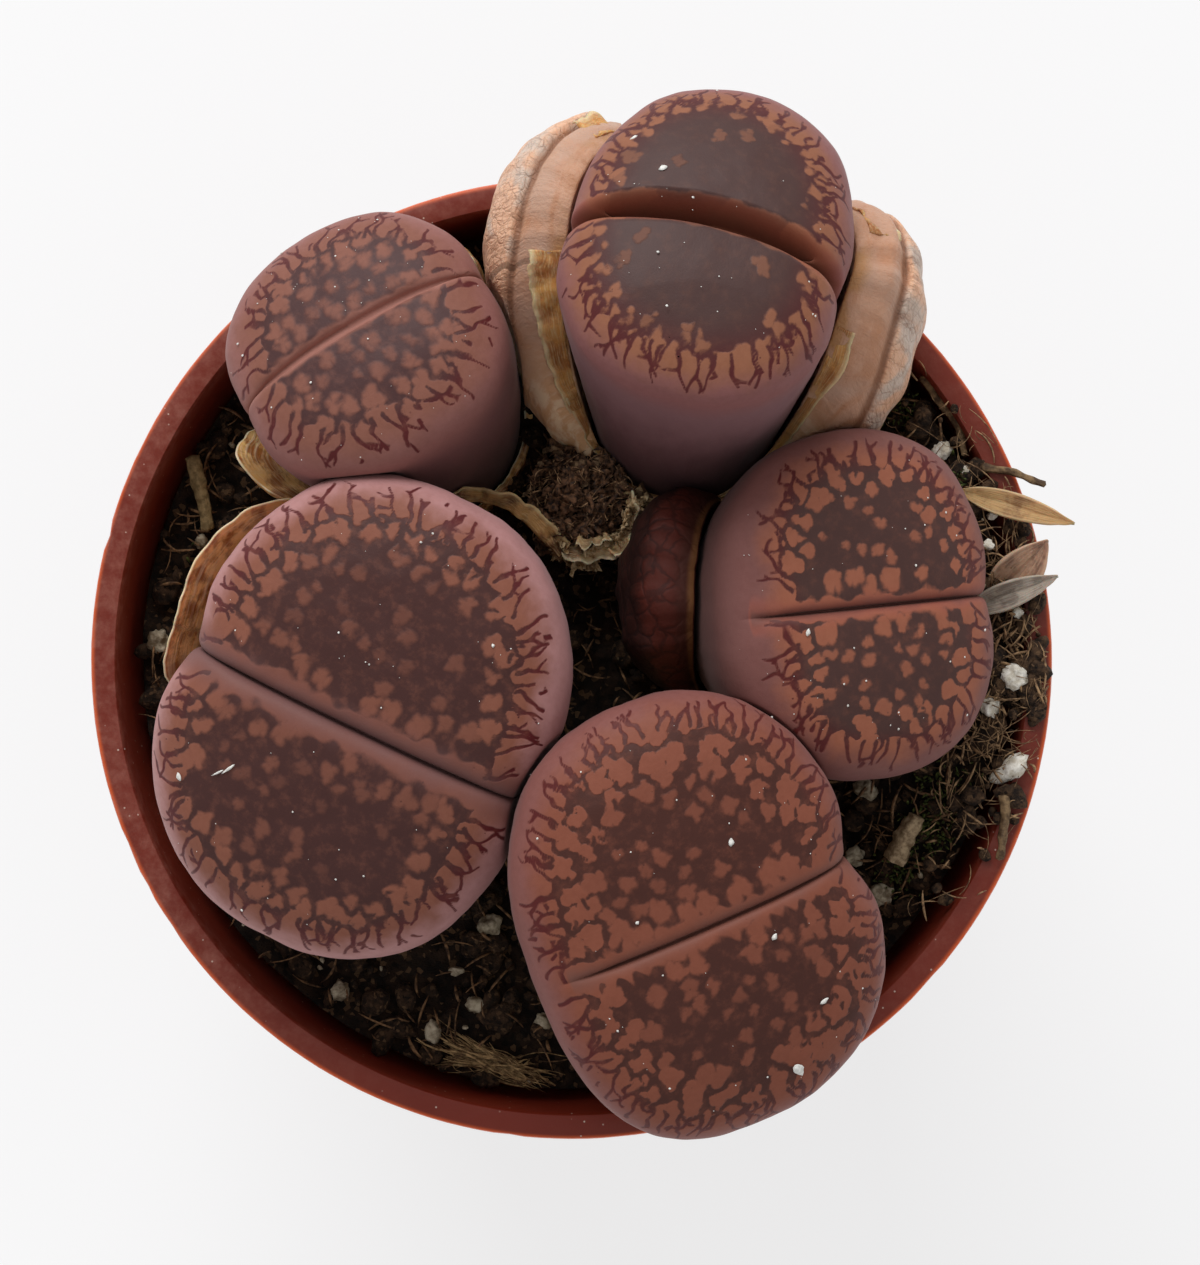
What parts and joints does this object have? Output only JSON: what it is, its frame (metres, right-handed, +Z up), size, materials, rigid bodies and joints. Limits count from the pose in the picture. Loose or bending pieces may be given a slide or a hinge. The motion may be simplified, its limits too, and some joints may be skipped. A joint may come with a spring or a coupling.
{
  "type": "potted lithops",
  "caption": "Clump of living stone plants with patterned split heads and old dry leaves, in soil in a round nursery pot that stands on a surface.",
  "frame": {"origin": "centre of the pot's underside, on the surface it stands on", "axes": "+Z up, +Y towards the two back heads, +X towards the heaped soil"},
  "size_m": [0.0715, 0.0755, 0.083],
  "materials": {
    "terracotta_plastic": "satin",
    "leaf_skin": "satin",
    "old_leaf": "matte",
    "dry_skin": "matte",
    "dry_litter": "matte",
    "peat": "matte"
  },
  "bodies": {
    "root": {"pot": "terracotta_plastic", "soil": "peat", "old_leaves_back_right": "old_leaf", "old_leaf_right": "old_leaf", "dry_sheath_front_left": "dry_skin", "dry_sheath_back_left": "dry_skin", "dried_flower": "dry_litter", "head_back_left": "leaf_skin", "head_back_right": "leaf_skin", "head_right": "leaf_skin", "head_front_left": "leaf_skin", "head_front_right": "leaf_skin", "dry_leaf_tan": "dry_litter", "dry_leaf_grey": "dry_litter", "dry_leaf_brown": "dry_litter", "bark_chip": "dry_litter", "twig_back": "dry_litter", "twig_right": "dry_litter", "twig_front": "dry_litter", "straw": "dry_litter", "wood_fibre": "dry_litter"}
  },
  "joints": []
}
